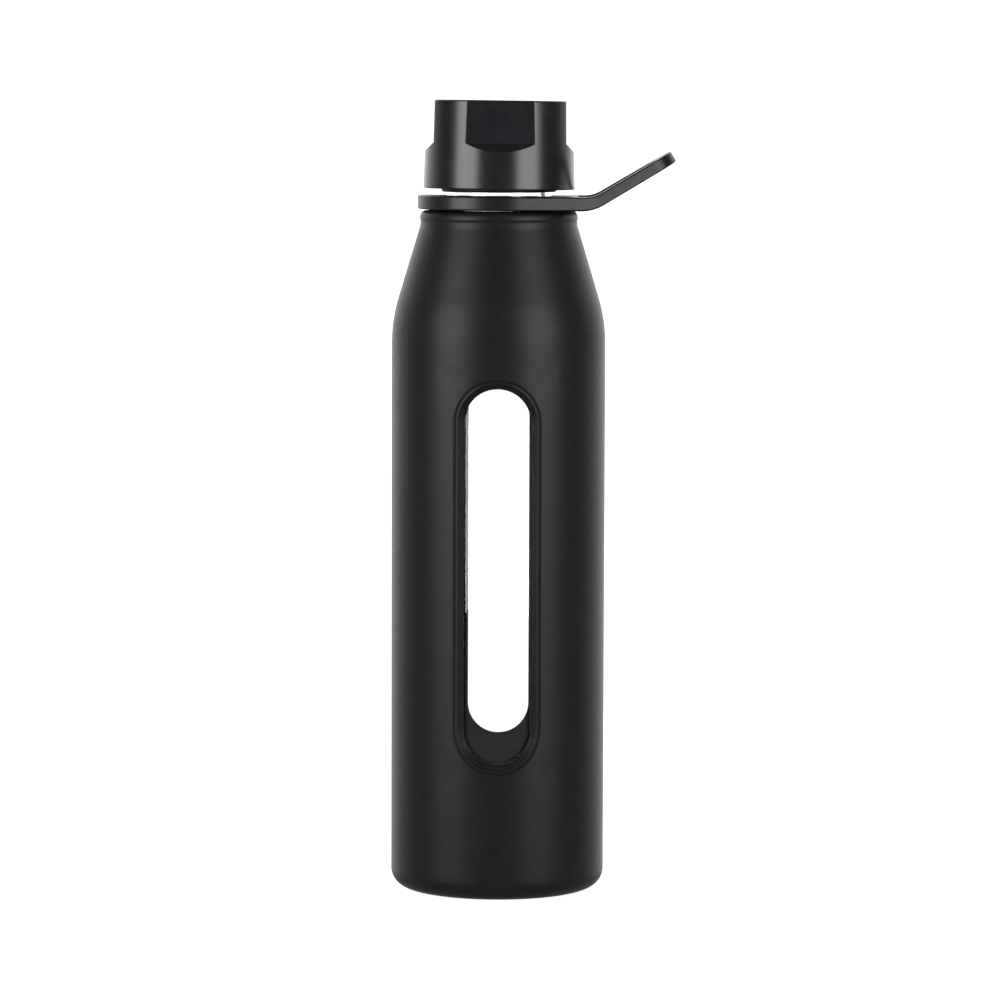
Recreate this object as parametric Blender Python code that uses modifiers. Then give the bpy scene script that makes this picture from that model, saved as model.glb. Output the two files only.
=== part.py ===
"""Glass water bottle in a silicone sleeve, with a flatted screw cap and a carry strap.

Frame: +Z up, origin at the centre of the base, on the bottle's axis. The sleeve's two
windows face -Y and +Y, and the strap's finger loop points to +X. Sizes are written in
millimetres, and each mesh or curve turns them into metres as it is made.

Pieces: glass_bottle, silicone_sleeve, carry_strap, cap_shell, cap_liner, cap_gasket.
The cap unscrews by THREAD_TURNS turns, rising THREAD_PITCH a turn. The strap swivels
round the glass collar.
"""

import math

import bmesh
import bpy
from mathutils import Matrix, Vector

MM = 0.001
GAP = 0.3  # left between pieces that touch on the real bottle
TURN_STEPS = 48  # facets round a turned piece

# Sleeve, outside
BODY_R = 36.95
BASE_CORNER_R = 6.4
CONE_TOP_R = 27.0
CONE_TOP_Z = 230.5
CONE_SLOPE = 0.3  # radius gained for each millimetre down the shoulder
SHOULDER_ARC_R = 55.0
SLEEVE_WALL = 2.4
SLEEVE_FLOOR = 3.0
SLEEVE_TOP_Z = 234.9
LIP_R = 27.35  # the rounded lip round the sleeve's mouth
FOOT_INNER_R = 26.0
FOOT_PAD_R = 12.0
FOOT_RECESS = 0.8

# Sleeve windows: a slot with round ends on each side, with a raised rim round it
WINDOW_HALF_W = 11.25
WINDOW_LOW_Z = 47.6
WINDOW_HIGH_Z = 175.4
RIM_HALF_W = 13.45  # to the middle of the rim, which sits a little low round the slot
RIM_LOW_Z = 44.9
RIM_HIGH_Z = 177.0
RIM_BEAD_R = 0.9
RIM_PROUD = 0.3
ROUND_END_STEPS = 12

# Glass
GLASS_WALL = 2.2
GLASS_FLOOR = 5.5
PUNT_R = 24.0  # the hollow under the glass base
PUNT_RISE = 2.0
COLLAR_R = 18.35
COLLAR_LOW_Z = 236.0
COLLAR_HIGH_Z = 243.2
NECK_R = 17.1
MOUTH_R = 14.4
MOUTH_Z = 262.0

# Screw thread, right-handed
THREAD_PITCH = 4.2
THREAD_TURNS = 1.5  # on the glass, and how far the cap turns to come free
THREAD_START_Z = 250.0
THREAD_RIDGE_R = 1.15
LINER_THREAD_TURNS = 1.25
LINER_RIDGE_R = 1.0
THREAD_STEPS = 24  # a turn
THREAD_FADE = 4  # steps over which a ridge's end tapers away

# Cap, with heights above the shell's lower edge
CAP_BASE_Z = 242.6
CAP_HEIGHT = 30.4
CAP_LOW_R = 26.1
CAP_HIGH_R = 25.25
CAP_EDGE = 0.6
CAP_CAVITY_R = 24.0
CAP_CAVITY_H = 11.7
CAP_CROWN_H = 28.2  # underside of the shell's top
CAP_HOLLOW_R = 18.0  # above the liner
FLAT_COUNT = 4
FLAT_DISTANCE = 23.0  # from the axis to the middle of a flat, at the cap's top
FLAT_CROWN_R = 96.0
FLAT_DRAFT = 0.0265
FLAT_LOW_H = 15.73
FLAT_RUNOUT_SLOPE = 0.785
CROWN_STEPS = 128
RIB_COUNT = 12
RIB_THICK = 1.4
LINER_R = 19.85
LINER_WALL = 1.2
LINER_LOW_H = -1.05
LINER_ROOF_H = 22.0  # underside of the liner's roof
LINER_ROOF_THICK = 1.6
GASKET_OUT_R = 18.3
GASKET_IN_R = 13.2
GASKET_THICK = 2.0

# Strap: a flat plate round the neck, whose finger loop turns up along +X
STRAP_THICK = 4.55
LOOP_THICK = 4.0
STRAP_MID_Z = 237.88
STRAP_RING_R = 28.1
STRAP_HOLE_R = 18.85
STRAP_TAPER = math.radians(15.5)
STRAP_END_U = 64.3  # along the flat plate, before it is bent
STRAP_END_CORNER_R = 10.0
STRAP_BAND = 6.0
LOOP_START_U = 27.2
LOOP_NEAR_CORNER_R = 4.0
LOOP_FAR_CORNER_R = 5.0
STRAP_EDGE = 0.7
BEND_START_U = 28.9
BEND_R = 13.1
BEND_ANGLE = math.radians(31.0)
BEND_CUTS = 6


# Scene, materials and modifiers


def clear_scene():
    for old in list(bpy.data.objects):
        bpy.data.objects.remove(old, do_unlink=True)


def new_collection(name):
    collection = bpy.data.collections.new(name)
    bpy.context.scene.collection.children.link(collection)
    return collection


def new_material(name, colour, roughness, transmission=0.0):
    material = bpy.data.materials.new(name)
    material.use_nodes = True
    shader = material.node_tree.nodes["Principled BSDF"]
    shader.inputs["Base Color"].default_value = (*colour, 1.0)
    shader.inputs["Roughness"].default_value = roughness
    shader.inputs["Metallic"].default_value = 0.0
    shader.inputs["Transmission Weight"].default_value = transmission
    return material


def add_object(name, data, collection, material=None, parent=None):
    obj = bpy.data.objects.new(name, data)
    collection.objects.link(obj)
    if material:
        data.materials.append(material)
    obj.parent = parent
    return obj


def as_helper(obj):
    obj.hide_render = True
    obj.display_type = "WIRE"
    return obj


def boolean(obj, other, operation):
    modifier = obj.modifiers.new(operation.lower(), "BOOLEAN")
    modifier.operation = operation
    modifier.object = other


def smooth(mesh):
    mesh.shade_smooth()
    mesh.set_sharp_from_angle(angle=math.radians(35.0))


# Shapes


def arc(centre, radius, start_deg, end_deg, steps):
    """Points along an arc, ends included."""
    points = []
    for i in range(steps + 1):
        angle = math.radians(start_deg + (end_deg - start_deg) * i / steps)
        points.append(
            (
                centre[0] + radius * math.cos(angle),
                centre[1] + radius * math.sin(angle),
            )
        )
    return points


def turned(name, profile, collection, material=None, steps=TURN_STEPS, parent=None):
    """A (radius, height) profile turned about Z. It runs down its outer side."""
    mesh = bpy.data.meshes.new(name)
    points = [(r * MM, 0.0, h * MM) for r, h in profile]
    mesh.from_pydata(points, [(i, i + 1) for i in range(len(points) - 1)], [])
    obj = add_object(name, mesh, collection, material, parent)
    screw = obj.modifiers.new("turn", "SCREW")
    screw.steps = steps
    screw.render_steps = steps
    screw.use_merge_vertices = True
    screw.merge_threshold = 0.00001
    return obj


def mesh_from(curve_object, name, collection):
    """The curve's shape as a welded mesh object, in place of the curve."""
    graph = bpy.context.evaluated_depsgraph_get()
    mesh = bpy.data.meshes.new_from_object(curve_object.evaluated_get(graph))
    mesh.name = name
    bm = bmesh.new()
    bm.from_mesh(mesh)
    bmesh.ops.remove_doubles(bm, verts=bm.verts, dist=0.000002)
    bmesh.ops.recalc_face_normals(bm, faces=bm.faces)
    bm.to_mesh(mesh)
    bm.free()
    obj = add_object(name, mesh, collection)
    obj.matrix_world = curve_object.matrix_world
    bpy.data.objects.remove(curve_object, do_unlink=True)
    return obj


def poly_spline(curve, points, closed, widths=None):
    spline = curve.splines.new("POLY")
    spline.points.add(len(points) - 1)
    for i, point in enumerate(points):
        spline.points[i].co = (*(Vector(point) * MM), 1.0)
        spline.points[i].radius = widths[i] if widths else 1.0
    spline.use_cyclic_u = closed


def tube(name, points, radius, collection, closed=False, widths=None):
    """A round bar along the points, as a mesh object."""
    curve = bpy.data.curves.new(name + "_line", "CURVE")
    curve.dimensions = "3D"
    curve.bevel_depth = radius * MM
    curve.bevel_resolution = 1
    curve.use_fill_caps = not closed
    poly_spline(curve, points, closed, widths)
    return mesh_from(add_object(name + "_line", curve, collection), name, collection)


def plate(name, outlines, thickness, edge, collection):
    """A flat plate in XY, centred on Z = 0, with holes, and its edges rounded by edge."""
    curve = bpy.data.curves.new(name + "_outline", "CURVE")
    curve.dimensions = "2D"
    curve.fill_mode = "BOTH"
    curve.extrude = (thickness / 2 - edge) * MM
    curve.bevel_depth = edge * MM
    curve.bevel_resolution = 1
    curve.offset = -edge * MM
    for outline in outlines:
        poly_spline(curve, [(x, y, 0.0) for x, y in outline], True)
    outline_object = add_object(name + "_outline", curve, collection)
    return mesh_from(outline_object, name, collection)


def helix(radius, start_z, turns):
    count = round(turns * THREAD_STEPS)
    points = []
    for i in range(count + 1):
        angle = 2 * math.pi * i / THREAD_STEPS
        points.append(
            (
                radius * math.cos(angle),
                radius * math.sin(angle),
                start_z + THREAD_PITCH * i / THREAD_STEPS,
            )
        )
    return points


def thread_ridge(name, radius, start_z, turns, ridge_r, collection):
    """A round ridge on a helix, which tapers away at both ends."""
    points = helix(radius, start_z, turns)
    last = len(points) - 1
    widths = []
    for i in range(last + 1):
        steps_from_end = min(i, last - i)
        widths.append(0.35 + 0.65 * min(1.0, steps_from_end / THREAD_FADE))
    return as_helper(tube(name, points, ridge_r, collection, widths=widths))


# Glass and sleeve


def sleeve_radius(z):
    """The sleeve's outer radius above its base corner: a cylinder, an arc and a cone."""
    corner_z = CONE_TOP_Z - (BODY_R - CONE_TOP_R) / CONE_SLOPE
    lean = math.atan(CONE_SLOPE)
    tangent = SHOULDER_ARC_R * math.tan(lean / 2)
    arc_low_z = corner_z - tangent
    arc_high_z = corner_z + tangent * math.cos(lean)
    if z <= arc_low_z:
        return BODY_R
    if z >= arc_high_z:
        return CONE_TOP_R + CONE_SLOPE * (CONE_TOP_Z - z)
    return BODY_R - SHOULDER_ARC_R + math.sqrt(SHOULDER_ARC_R**2 - (z - arc_low_z) ** 2)


SHOULDER_HEIGHTS = [CONE_TOP_Z, 218.0, 204.9, 201.0, 197.0, 193.0, 189.0]


def shoulder(inset):
    """The shoulder's profile from the top down, this far inside the sleeve's outside."""
    return [(sleeve_radius(z) - inset, z) for z in SHOULDER_HEIGHTS]


def sleeve_profile():
    inner_r = BODY_R - SLEEVE_WALL
    corner_r = BASE_CORNER_R + GAP
    inside = [(0.0, SLEEVE_FLOOR)]
    inside += arc((inner_r - corner_r, SLEEVE_FLOOR + corner_r), corner_r, -90, 0, 5)
    inside += reversed(shoulder(SLEEVE_WALL))
    mouth_r = CONE_TOP_R - SLEEVE_WALL
    lip = [
        (mouth_r, SLEEVE_TOP_Z - 1.0),
        (mouth_r + 0.3, SLEEVE_TOP_Z - 0.3),
        (mouth_r + 1.0, SLEEVE_TOP_Z),
        (LIP_R - 1.1, SLEEVE_TOP_Z - 0.1),
        (LIP_R - 0.3, SLEEVE_TOP_Z - 0.8),
        (LIP_R, SLEEVE_TOP_Z - 2.3),
        (LIP_R - 0.1, SLEEVE_TOP_Z - 3.2),
        (LIP_R - 0.35, SLEEVE_TOP_Z - 4.0),
    ]
    outside = shoulder(0.0)
    foot_r = BODY_R - BASE_CORNER_R
    outside += arc((foot_r, BASE_CORNER_R), BASE_CORNER_R, 0, -90, 5)
    foot = [
        (FOOT_INNER_R, 0.0),
        (FOOT_INNER_R - FOOT_RECESS, FOOT_RECESS),
        (FOOT_PAD_R + FOOT_RECESS, FOOT_RECESS),
        (FOOT_PAD_R, 0.0),
        (0.0, 0.0),
    ]
    return inside + lip + outside + foot


def slot_outline(half_width, low_z, high_z):
    """A slot with round ends, as (x, z) points."""
    top = arc((0.0, high_z - half_width), half_width, 0, 180, ROUND_END_STEPS)
    bottom = arc((0.0, low_z + half_width), half_width, 180, 360, ROUND_END_STEPS)
    return top + bottom


def window_cutter(collection):
    outline = slot_outline(WINDOW_HALF_W, WINDOW_LOW_Z, WINDOW_HIGH_Z)
    cutter = plate("window_cutter", [outline], 2 * BODY_R + 20, 0.0, collection)
    cutter.matrix_world = Matrix.Rotation(math.pi / 2, 4, "X")
    return as_helper(cutter)


def window_rim(name, side, collection):
    """The bead round one window, laid on the sleeve's outside. side is -1 or 1 along Y."""
    line_r = BODY_R + RIM_PROUD - RIM_BEAD_R
    points = []
    for x, z in slot_outline(RIM_HALF_W, RIM_LOW_Z, RIM_HIGH_Z):
        points.append((x, side * math.sqrt(line_r**2 - x**2), z))
    return as_helper(tube(name, points, RIM_BEAD_R, collection, closed=True))


def make_sleeve(parts, helpers, material):
    sleeve = turned("silicone_sleeve", sleeve_profile(), parts, material)
    for name, side in (("front_rim", -1), ("back_rim", 1)):
        boolean(sleeve, window_rim(name, side, helpers), "UNION")
    boolean(sleeve, window_cutter(helpers), "DIFFERENCE")


def glass_profile():
    inset = SLEEVE_WALL + GAP
    outer_r = BODY_R - inset
    inner_r = outer_r - GLASS_WALL
    base_z = SLEEVE_FLOOR + GAP
    floor_z = base_z + GLASS_FLOOR
    heel_r = 6.0
    inside = [(0.0, floor_z)]
    inside += arc((inner_r - heel_r, floor_z + heel_r), heel_r, -90, 0, 4)
    inside += reversed(shoulder(inset + GLASS_WALL)[1:])
    inside += [
        (CONE_TOP_R - inset - GLASS_WALL - 0.6, CONE_TOP_Z + 0.5),
        (MOUTH_R + 1.6, COLLAR_LOW_Z),
        (MOUTH_R, COLLAR_LOW_Z + 2.4),
    ]
    lip_r = (NECK_R - MOUTH_R) / 2
    lip = arc((MOUTH_R + lip_r, MOUTH_Z - lip_r), lip_r, 180, 0, 6)
    collar = [
        (NECK_R, COLLAR_HIGH_Z + 0.4),
        (NECK_R + 0.4, COLLAR_HIGH_Z),
        (COLLAR_R - 0.3, COLLAR_HIGH_Z),
        (COLLAR_R, COLLAR_HIGH_Z - 0.3),
        (COLLAR_R, COLLAR_LOW_Z),
        (COLLAR_R + 0.6, COLLAR_LOW_Z - 0.8),
        (COLLAR_R + 2.2, COLLAR_LOW_Z - 1.5),
        (COLLAR_R + 4.2, COLLAR_LOW_Z - 2.7),
        (COLLAR_R + 5.3, COLLAR_LOW_Z - 4.1),
    ]
    outside = shoulder(inset)
    outside += arc(
        (outer_r - BASE_CORNER_R, base_z + BASE_CORNER_R), BASE_CORNER_R, 0, -90, 5
    )
    punt = [(PUNT_R, base_z), (PUNT_R * 0.6, base_z + PUNT_RISE), (0.0, base_z + PUNT_RISE)]
    return inside + lip + collar + outside + punt


def make_glass(parts, helpers, material):
    glass = turned("glass_bottle", glass_profile(), parts, material)
    ridge = thread_ridge(
        "glass_thread", NECK_R, THREAD_START_Z, THREAD_TURNS, THREAD_RIDGE_R, helpers
    )
    boolean(glass, ridge, "UNION")


# Cap


def shell_profile():
    seat_h = LINER_ROOF_H + LINER_ROOF_THICK + GAP
    seat_r = LINER_R + GAP
    return [
        (0.0, CAP_HEIGHT),
        (CAP_HIGH_R - CAP_EDGE, CAP_HEIGHT),
        (CAP_HIGH_R, CAP_HEIGHT - CAP_EDGE),
        (CAP_LOW_R, CAP_EDGE),
        (CAP_LOW_R - CAP_EDGE, 0.0),
        (CAP_CAVITY_R + 0.2, 0.0),
        (CAP_CAVITY_R, 0.4),
        (CAP_CAVITY_R, CAP_CAVITY_H),
        (seat_r, CAP_CAVITY_H + 0.8),
        (seat_r, seat_h),
        (CAP_HOLLOW_R, seat_h),
        (CAP_HOLLOW_R, CAP_CROWN_H),
        (0.0, CAP_CROWN_H),
    ]


def flat_limit(name, angle, collection):
    """A wide turned body that the shell is trimmed to, which leaves one crowned flat."""
    margin = 10.0
    flat_low_r = FLAT_CROWN_R + FLAT_DRAFT * (CAP_HEIGHT - FLAT_LOW_H)
    profile = [
        (0.0, CAP_HEIGHT + margin),
        (FLAT_CROWN_R - FLAT_DRAFT * margin, CAP_HEIGHT + margin),
        (flat_low_r, FLAT_LOW_H),
        (flat_low_r + FLAT_RUNOUT_SLOPE * (FLAT_LOW_H + margin), -margin),
        (0.0, -margin),
    ]
    limit = turned(name, profile, collection, steps=CROWN_STEPS)
    distance = (FLAT_DISTANCE - FLAT_CROWN_R) * MM
    direction = Vector((math.cos(angle), math.sin(angle), 0.0))
    limit.location = direction * distance + Vector((0.0, 0.0, CAP_BASE_Z * MM))
    return as_helper(limit)


def rib_blocks(collection):
    """Short ribs between the shell's skirt and the liner."""
    bm = bmesh.new()
    inner_r = LINER_R + GAP
    outer_r = CAP_CAVITY_R + 1.0
    low_h, high_h = 1.6, CAP_CAVITY_H + 1.5
    size = Matrix.Diagonal(
        ((outer_r - inner_r) * MM, RIB_THICK * MM, (high_h - low_h) * MM, 1.0)
    )
    middle = Matrix.Translation(
        ((inner_r + outer_r) / 2 * MM, 0.0, (low_h + high_h) / 2 * MM)
    )
    for i in range(RIB_COUNT):
        turn = Matrix.Rotation(2 * math.pi * (i + 0.5) / RIB_COUNT, 4, "Z")
        bmesh.ops.create_cube(bm, size=1.0, matrix=turn @ middle @ size)
    mesh = bpy.data.meshes.new("cap_ribs")
    bm.to_mesh(mesh)
    bm.free()
    ribs = add_object("cap_ribs", mesh, collection)
    ribs.location.z = CAP_BASE_Z * MM
    return as_helper(ribs)


def make_shell(parts, helpers, material, cap_axis):
    shell = turned("cap_shell", shell_profile(), parts, material, parent=cap_axis)
    for i in range(FLAT_COUNT):
        angle = 2 * math.pi * i / FLAT_COUNT
        boolean(shell, flat_limit(f"flat_limit_{i + 1}", angle, helpers), "INTERSECT")
    boolean(shell, rib_blocks(helpers), "UNION")


def liner_profile():
    roof_top_h = LINER_ROOF_H + LINER_ROOF_THICK
    bore_r = LINER_R - LINER_WALL
    return [
        (0.0, roof_top_h),
        (LINER_R - 0.5, roof_top_h),
        (LINER_R, roof_top_h - 0.5),
        (LINER_R, LINER_LOW_H + 0.8),
        (LINER_R - 0.7, LINER_LOW_H),
        (bore_r + 0.2, LINER_LOW_H),
        (bore_r, LINER_LOW_H + 0.4),
        (bore_r, LINER_ROOF_H),
        (0.0, LINER_ROOF_H),
    ]


def make_liner(parts, helpers, material, cap_axis):
    liner = turned("cap_liner", liner_profile(), parts, material, parent=cap_axis)
    ridge = thread_ridge(
        "liner_thread",
        LINER_R - LINER_WALL,
        THREAD_START_Z - THREAD_PITCH / 2,
        LINER_THREAD_TURNS,
        LINER_RIDGE_R,
        helpers,
    )
    boolean(liner, ridge, "UNION")


def make_gasket(parts, material, cap_axis):
    high_h = LINER_ROOF_H - GAP
    low_h = high_h - GASKET_THICK
    profile = [
        (GASKET_IN_R, low_h + 0.4),
        (GASKET_IN_R, high_h - 0.4),
        (GASKET_IN_R + 0.4, high_h),
        (GASKET_OUT_R - 0.4, high_h),
        (GASKET_OUT_R, high_h - 0.4),
        (GASKET_OUT_R, low_h + 0.4),
        (GASKET_OUT_R - 0.4, low_h),
        (GASKET_IN_R + 0.4, low_h),
        (GASKET_IN_R, low_h + 0.4),
    ]
    turned("cap_gasket", profile, parts, material, parent=cap_axis)


# Strap


def fillet(before, corner, after, radius, steps):
    """Points that round a corner of an outline."""
    corner = Vector(corner)
    to_before = (Vector(before) - corner).normalized()
    to_after = (Vector(after) - corner).normalized()
    half = to_before.angle(to_after) / 2
    bisector = (to_before + to_after).normalized()
    centre = corner + bisector * radius / math.sin(half)
    start = corner + to_before * radius / math.tan(half) - centre
    turn = math.pi - 2 * half
    if to_before.cross(to_after) > 0:
        turn = -turn
    points = []
    for i in range(steps + 1):
        points.append(tuple(centre + Matrix.Rotation(turn * i / steps, 2) @ start))
    return points


def strap_half_width(u):
    """Half the strap's width on its tapering sides, u from the axis."""
    tangent_u = STRAP_RING_R * math.sin(STRAP_TAPER)
    tangent_y = STRAP_RING_R * math.cos(STRAP_TAPER)
    return tangent_y - (u - tangent_u) * math.tan(STRAP_TAPER)


def strap_outlines():
    """The flat plate's outside, neck hole and finger hole."""
    lean = math.degrees(STRAP_TAPER)
    ring = arc((0.0, 0.0), STRAP_RING_R, 90 - lean, 270 + lean, 28)
    end_y = strap_half_width(STRAP_END_U)
    low_end = (STRAP_END_U, -end_y)
    high_end = (STRAP_END_U, end_y)
    outside = list(ring)
    outside += fillet(ring[-1], low_end, high_end, STRAP_END_CORNER_R, 7)
    outside += fillet(low_end, high_end, ring[0], STRAP_END_CORNER_R, 7)
    neck_hole = arc((0.0, 0.0), STRAP_HOLE_R, 0, 360 - 360 / 36, 35)
    far_u = STRAP_END_U - STRAP_BAND
    near_y = strap_half_width(LOOP_START_U) - STRAP_BAND
    far_y = strap_half_width(far_u) - STRAP_BAND
    corners = [
        (LOOP_START_U, near_y),
        (LOOP_START_U, -near_y),
        (far_u, -far_y),
        (far_u, far_y),
    ]
    radii = [LOOP_NEAR_CORNER_R] * 2 + [LOOP_FAR_CORNER_R] * 2
    finger_hole = []
    for i, corner in enumerate(corners):
        after = corners[(i + 1) % len(corners)]
        finger_hole += fillet(corners[i - 1], corner, after, radii[i], 6)
    return [outside, neck_hole, finger_hole]


def bent(u, y, h):
    """Where a point of the flat plate goes when its loop is turned up and thinned."""
    along = u - BEND_START_U
    if along <= 0:
        return Vector((u, y, h))
    angle = min(along / BEND_R, BEND_ANGLE)
    h *= 1 + (LOOP_THICK / STRAP_THICK - 1) * angle / BEND_ANGLE
    straight = max(0.0, along - BEND_R * BEND_ANGLE)
    x = BEND_START_U + (BEND_R - h) * math.sin(angle) + straight * math.cos(angle)
    z = BEND_R - (BEND_R - h) * math.cos(angle) + straight * math.sin(angle)
    return Vector((x, y, z))


def make_strap(parts, material):
    strap = plate("carry_strap", strap_outlines(), STRAP_THICK, STRAP_EDGE, parts)
    bm = bmesh.new()
    bm.from_mesh(strap.data)
    for i in range(BEND_CUTS + 1):
        u = BEND_START_U + BEND_R * BEND_ANGLE * i / BEND_CUTS
        bmesh.ops.bisect_plane(
            bm,
            geom=bm.verts[:] + bm.edges[:] + bm.faces[:],
            dist=0.000001,
            plane_co=(u * MM, 0.0, 0.0),
            plane_no=(1.0, 0.0, 0.0),
        )
    for vert in bm.verts:
        vert.co = bent(*(vert.co / MM)) * MM
    bm.to_mesh(strap.data)
    bm.free()
    smooth(strap.data)
    strap.data.materials.append(material)
    strap.location.z = STRAP_MID_Z * MM


def main():
    clear_scene()
    parts = new_collection("glass_water_bottle")
    helpers = new_collection("cutters")
    clear_glass = new_material("clear_glass", (0.95, 0.98, 0.97), 0.02, transmission=1.0)
    black_silicone = new_material("black_silicone", (0.014, 0.015, 0.015), 0.55)
    black_plastic = new_material("black_plastic", (0.012, 0.013, 0.015), 0.32)
    strap_plastic = new_material("strap_plastic", (0.022, 0.021, 0.02), 0.45)
    liner_plastic = new_material("liner_plastic", (0.018, 0.018, 0.019), 0.4)
    gasket_silicone = new_material("gasket_silicone", (0.62, 0.63, 0.62), 0.6)

    make_glass(parts, helpers, clear_glass)
    make_sleeve(parts, helpers, black_silicone)
    make_strap(parts, strap_plastic)
    cap_axis = add_object("cap_axis", None, parts)
    cap_axis.location.z = CAP_BASE_Z * MM
    make_shell(parts, helpers, black_plastic, cap_axis)
    make_liner(parts, helpers, liner_plastic, cap_axis)
    make_gasket(parts, gasket_silicone, cap_axis)


main()
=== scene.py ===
"""Looks of the glass water bottle: fine meshes, materials, studio and camera.

Every piece stands for the CAD node of the same shape and rides on its body. Lengths are
in millimetres until mesh_object() turns them into metres. The bottle's axis is Z, its
sleeve's windows face -Y and +Y, and the strap's finger loop points to +X.
"""

import math

import bmesh
import bpy
from mathutils import Matrix, Vector


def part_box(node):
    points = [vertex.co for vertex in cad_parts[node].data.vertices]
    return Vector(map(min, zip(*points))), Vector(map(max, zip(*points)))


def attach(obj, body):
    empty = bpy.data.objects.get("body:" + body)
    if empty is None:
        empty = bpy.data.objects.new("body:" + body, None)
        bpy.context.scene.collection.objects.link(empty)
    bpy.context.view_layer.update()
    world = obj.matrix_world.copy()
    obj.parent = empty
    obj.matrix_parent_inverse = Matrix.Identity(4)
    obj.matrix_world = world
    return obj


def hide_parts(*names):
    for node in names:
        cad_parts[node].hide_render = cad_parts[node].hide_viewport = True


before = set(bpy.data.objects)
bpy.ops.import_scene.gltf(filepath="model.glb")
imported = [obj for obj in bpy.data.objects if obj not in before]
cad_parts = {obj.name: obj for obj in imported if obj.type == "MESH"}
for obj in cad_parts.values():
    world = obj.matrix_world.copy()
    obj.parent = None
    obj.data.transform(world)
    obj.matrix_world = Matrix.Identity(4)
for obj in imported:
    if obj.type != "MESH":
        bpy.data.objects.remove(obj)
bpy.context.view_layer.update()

MM = 0.001
TAU = 2 * math.pi


def node_box(node):
    """A CAD node's lowest and highest corners, in millimetres."""
    low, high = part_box(node)
    return low / MM, high / MM


sleeve_low, sleeve_high = node_box("silicone_sleeve")
glass_low, glass_high = node_box("glass_bottle")
strap_low, strap_high = node_box("carry_strap")
shell_low, shell_high = node_box("cap_shell")
liner_low, liner_high = node_box("cap_liner")
gasket_low, gasket_high = node_box("cap_gasket")

# Sleeve
BODY_R = sleeve_high.x
BASE_CORNER_R = 6.4
CONE_TOP_R = 27.0
CONE_TOP_Z = 230.5
CONE_SLOPE = 0.3
SHOULDER_ARC_R = 55.0
SLEEVE_WALL = 2.65  # 0.05 short of the glass, so their facets just cross
SLEEVE_FLOOR = 3.0
SLEEVE_TOP_Z = sleeve_high.z
LIP_R = 27.27
LIP_TOP_Z = SLEEVE_TOP_Z + 0.2
LIP_BEAD_R = 1.9
LIP_BEAD_Z = SLEEVE_TOP_Z - 2.35
LIP_GROOVE_R = 27.07
LIP_GROOVE_Z = SLEEVE_TOP_Z - 4.0
FOOT_INNER_R = 26.0
FOOT_PAD_R = 12.0
FOOT_RECESS = 0.8
WINDOW_HALF_W = 11.25
WINDOW_LOW_Z = 47.4
BACK_WINDOW_RISE = 1.7  # how much higher the back window ends at its foot
WINDOW_HIGH_Z = 175.4
RIM_HALF_W = 14.62  # to the groove round the outside of the rim
RIM_LOW_Z = 43.8
RIM_HIGH_Z = 178.3
# The rim steps down to the glass: (half width, height above the wall), from the glass out
RIM_SECTION = (
    (11.25, -2.4),
    (11.3, -2.05),
    (11.5, -1.72),
    (11.8, -1.62),
    (12.05, -1.42),
    (12.2, -1.05),
    (12.4, -0.76),
    (12.8, -0.66),
    (13.1, -0.42),
    (13.3, -0.02),
    (13.55, 0.14),
    (13.95, 0.13),
    (14.3, -0.02),
    (14.62, -0.28),
    (14.93, -0.05),
    (15.25, 0.0),
)
RIM_SECTION_STEPS = 4
# Half widths of the rows on the wall inside the window, and outside its rim
INSIDE_ROWS = (17.0, 14.0, 12.2, WINDOW_HALF_W + 0.45, WINDOW_HALF_W + 0.2)
OUTSIDE_ROWS = (15.8, 16.8, 18.2)
PATCH_HALF_W = 20.0  # the square-cornered patch of wall that holds a window
PATCH_ARC_STEPS = 48
PATCH_SIDE_STEPS = 42
SIDE_COLUMNS = 32

# Glass
GLASS_INSET = BODY_R - glass_high.x
GLASS_WALL = 2.2
GLASS_FLOOR = 5.5
GLASS_STRAIGHT_Z = 185.0  # the wall is straight up to here
GAP = 0.3
PUNT_R = 24.0
PUNT_RISE = 2.0
COLLAR_R = 18.35
COLLAR_LOW_Z = 236.0
COLLAR_HIGH_Z = 243.2
COLLAR_EDGE_R = 0.25
NECK_R = 17.1
MOUTH_R = 14.4
MOUTH_Z = glass_high.z
THREAD_PITCH = 4.2
THREAD_START_Z = 250.0
THREAD_TURNS = 1.5
THREAD_RIDGE_R = 1.15
LINER_THREAD_TURNS = 1.25
LINER_RIDGE_R = 1.0
THREAD_FADE = 1 / 6  # of a turn, at each end of a ridge

# Cap, with heights above the shell's lower edge
CAP_BASE_Z = shell_low.z
CAP_HEIGHT = shell_high.z - shell_low.z
CAP_LOW_R = 26.1
CAP_HIGH_R = 25.25
CAP_TOP_EDGE_R = 0.7
CAP_LOW_EDGE_R = 0.5
CAP_CAVITY_R = 24.0
CAP_CAVITY_H = 11.7
CAP_CROWN_H = 28.2
CAP_HOLLOW_R = 18.0
FLAT_DISTANCE = 22.62
FLAT_CROWN_R = 600.0
FLAT_DRAFT = 0.017
FLAT_LOW_H = 15.73
FLAT_RUNOUT_SLOPE = 1.0
FLAT_BLEND = 0.2  # how far the flats' edges are softened
FLAT_EDGE_ANGLE = 27.3
CAP_LEAN = math.radians(0.6)  # the shell sits a little askew on its liner
CAP_TURN = math.radians(1.1)
RIB_COUNT = 12
RIB_THICK = 1.4
RIB_LOW_H = 1.6
LINER_R = liner_high.x
LINER_WALL = 1.2
LINER_LOW_H = liner_low.z - CAP_BASE_Z
LINER_ROOF_H = 22.0
LINER_EDGE_R = 0.85
GASKET_OUT_R = gasket_high.x
GASKET_IN_R = 13.2

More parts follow.
